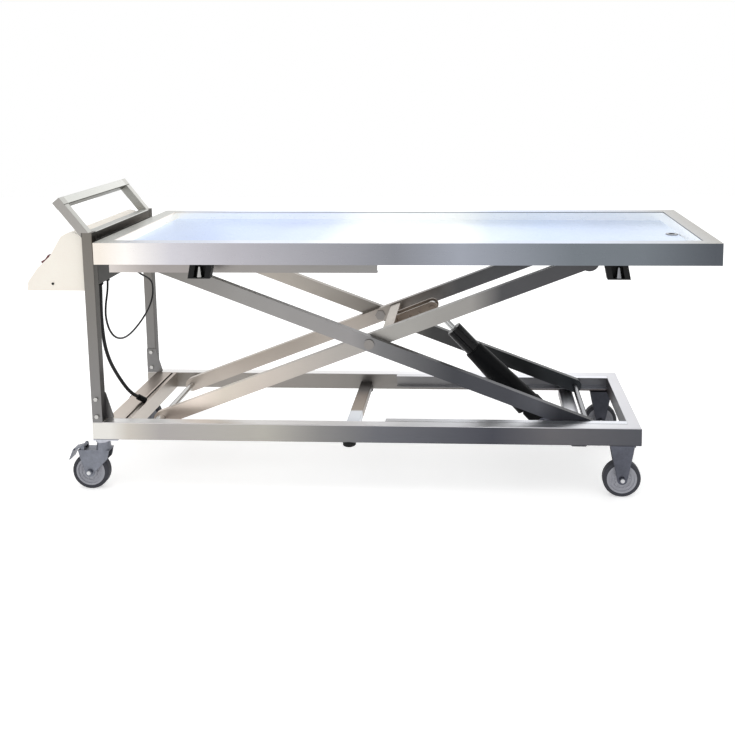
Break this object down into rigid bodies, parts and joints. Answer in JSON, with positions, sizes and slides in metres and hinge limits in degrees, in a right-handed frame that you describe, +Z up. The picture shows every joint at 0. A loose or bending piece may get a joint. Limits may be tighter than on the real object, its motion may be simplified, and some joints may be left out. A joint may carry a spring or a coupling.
{
  "type": "body lift trolley",
  "caption": "Stainless steel tray on an electric scissor lift, over a tube frame with casters, with a push handle and a control housing at the head end.",
  "frame": {"origin": "on the floor under the middle of the overall length and width, tray raised", "axes": "+X towards the foot end with the drain, -X towards the handle, +Z up; Y is across the trolley and -Y is the near side of the picture"},
  "size_m": [2.2493, 0.69, 1.0008],
  "materials": {
    "stainless_frame": "brushed",
    "stainless_tray": "satin",
    "bright_steel": "ground",
    "zinc_steel": "zinc plated",
    "dark_sheet": "matt",
    "housing_plastic": "matt",
    "switch_red": "gloss",
    "black_plastic": "matt",
    "cable_black": "satin",
    "wheel_grey": "satin",
    "tyre_grey": "matt",
    "rubber_black": "matt",
    "screw_black": "satin"
  },
  "bodies": {
    "base": {"base_rail_near": "stainless_frame", "base_rail_far": "stainless_frame", "base_rail_head": "stainless_frame", "base_rail_foot": "stainless_frame", "middle_cross_tube": "stainless_frame", "actuator_cross_tube": "stainless_frame", "rail_bumpers": "rubber_black", "lower_tracks": "stainless_frame", "base_pivot_shaft": "bright_steel", "post_near": "stainless_frame", "post_far": "stainless_frame", "post_gussets": "stainless_frame", "frame_bolts": "bright_steel", "post_crossbar": "dark_sheet", "handle_lower_bar": "stainless_frame", "handle_side_arms": "stainless_frame", "handle_grip": "stainless_frame", "control_housing": "housing_plastic", "switch_bezel": "black_plastic", "housing_screws": "screw_black", "power_unit": "black_plastic", "fixed_caster_forks": "zinc_steel", "swivel_plates": "zinc_steel", "actuator_clevis": "zinc_steel", "control_cable": "cable_black", "motor_cable": "cable_black", "cable_glands": "black_plastic"},
    "swivel_near": {"swivel_fork_near": "zinc_steel"},
    "pedal_near": {"brake_pedal_near": "black_plastic"},
    "swivel_far": {"swivel_fork_far": "zinc_steel"},
    "pedal_far": {"brake_pedal_far": "black_plastic"},
    "wheel_head_near": {"wheel_core_head_near": "wheel_grey", "tyre_head_near": "tyre_grey"},
    "wheel_head_far": {"wheel_core_head_far": "wheel_grey", "tyre_head_far": "tyre_grey"},
    "wheel_foot_near": {"wheel_core_foot_near": "wheel_grey", "tyre_foot_near": "tyre_grey"},
    "wheel_foot_far": {"wheel_core_foot_far": "wheel_grey", "tyre_foot_far": "tyre_grey"},
    "arm_b": {"inner_arm_near": "stainless_frame", "inner_arm_far": "stainless_frame", "actuator_bracket": "stainless_frame", "centre_pins": "bright_steel"},
    "arm_a": {"outer_arm_near": "stainless_frame", "outer_arm_far": "stainless_frame", "roller_shafts": "bright_steel"},
    "lower_rollers": {"lower_rollers": "black_plastic"},
    "upper_rollers": {"upper_rollers": "black_plastic"},
    "table": {"tray": "stainless_tray", "drain_outlet": "stainless_tray", "tray_bars": "stainless_frame", "upper_tracks": "stainless_frame", "table_lugs": "stainless_frame", "tray_clamps": "rubber_black", "clamp_buffers": "bright_steel"},
    "actuator_body": {"actuator_gearbox": "black_plastic", "actuator_tube": "black_plastic", "actuator_motor": "black_plastic"},
    "actuator_rod": {"actuator_rod": "bright_steel"},
    "rocker": {"rocker_switch": "switch_red"}
  },
  "joints": [
    {"name": "lift", "type": "hinge", "parent": "base", "child": "arm_b", "pos_m": [-0.72, 0, 0.218], "axis": [0, 1, 0], "range_deg": [0, 12]},
    {"name": "scissor_centre", "type": "hinge", "parent": "arm_b", "child": "arm_a", "pos_m": [0.009, 0, 0.4965], "axis": [0, 1, 0], "range_deg": [-24, 0]},
    {"name": "tray_level", "type": "hinge", "parent": "arm_b", "child": "table", "pos_m": [0.738, 0, 0.775], "axis": [0, 1, 0], "range_deg": [-12, 0]},
    {"name": "actuator_tilt", "type": "hinge", "parent": "base", "child": "actuator_body", "pos_m": [0.603, 0, 0.155], "axis": [0, 1, 0], "range_deg": [-12.78, 0]},
    {"name": "actuator_stroke", "type": "slide", "parent": "actuator_body", "child": "actuator_rod", "axis": [-0.6834, 0, 0.7301], "range_m": [-0.17593, 0]},
    {"name": "lower_roller_spin", "type": "hinge", "parent": "arm_a", "child": "lower_rollers", "pos_m": [0.738, 0, 0.218], "axis": [0, 1, 0], "continuous": true},
    {"name": "upper_roller_spin", "type": "hinge", "parent": "arm_a", "child": "upper_rollers", "pos_m": [-0.72, 0, 0.775], "axis": [0, 1, 0], "continuous": true},
    {"name": "caster_swivel_near", "type": "hinge", "parent": "base", "child": "swivel_near", "pos_m": [-0.897, -0.25, 0.14], "axis": [0, 0, 1], "continuous": true},
    {"name": "brake_pedal_near", "type": "hinge", "parent": "swivel_near", "child": "pedal_near", "pos_m": [-0.964, -0.25, 0.15], "axis": [0, -1, 0], "range_deg": [0, 6]},
    {"name": "wheel_spin_head_near", "type": "hinge", "parent": "swivel_near", "child": "wheel_head_near", "pos_m": [-0.942, -0.25, 0.0625], "axis": [0, 1, 0], "continuous": true},
    {"name": "wheel_spin_foot_near", "type": "hinge", "parent": "base", "child": "wheel_foot_near", "pos_m": [0.8435, -0.25, 0.0625], "axis": [0, 1, 0], "continuous": true},
    {"name": "caster_swivel_far", "type": "hinge", "parent": "base", "child": "swivel_far", "pos_m": [-0.897, 0.25, 0.14], "axis": [0, 0, 1], "continuous": true},
    {"name": "brake_pedal_far", "type": "hinge", "parent": "swivel_far", "child": "pedal_far", "pos_m": [-0.964, 0.25, 0.15], "axis": [0, -1, 0], "range_deg": [0, 6]},
    {"name": "wheel_spin_head_far", "type": "hinge", "parent": "swivel_far", "child": "wheel_head_far", "pos_m": [-0.942, 0.25, 0.0625], "axis": [0, 1, 0], "continuous": true},
    {"name": "wheel_spin_foot_far", "type": "hinge", "parent": "base", "child": "wheel_foot_far", "pos_m": [0.8435, 0.25, 0.0625], "axis": [0, 1, 0], "continuous": true},
    {"name": "switch_rocker", "type": "hinge", "parent": "base", "child": "rocker", "pos_m": [-1.0638, -0.22, 0.7827], "axis": [0, 1, 0], "range_deg": [-4, 4], "stiffness_Nm_per_rad": 0.02}
  ],
  "couplings": [
    {"joint": "scissor_centre", "follows": "lift", "ratio": -2},
    {"joint": "tray_level", "follows": "lift", "ratio": -1},
    {"joint": "actuator_tilt", "follows": "lift", "ratio": -1.065},
    {"joint": "actuator_stroke", "follows": "lift", "m_per_rad": -0.84}
  ]
}
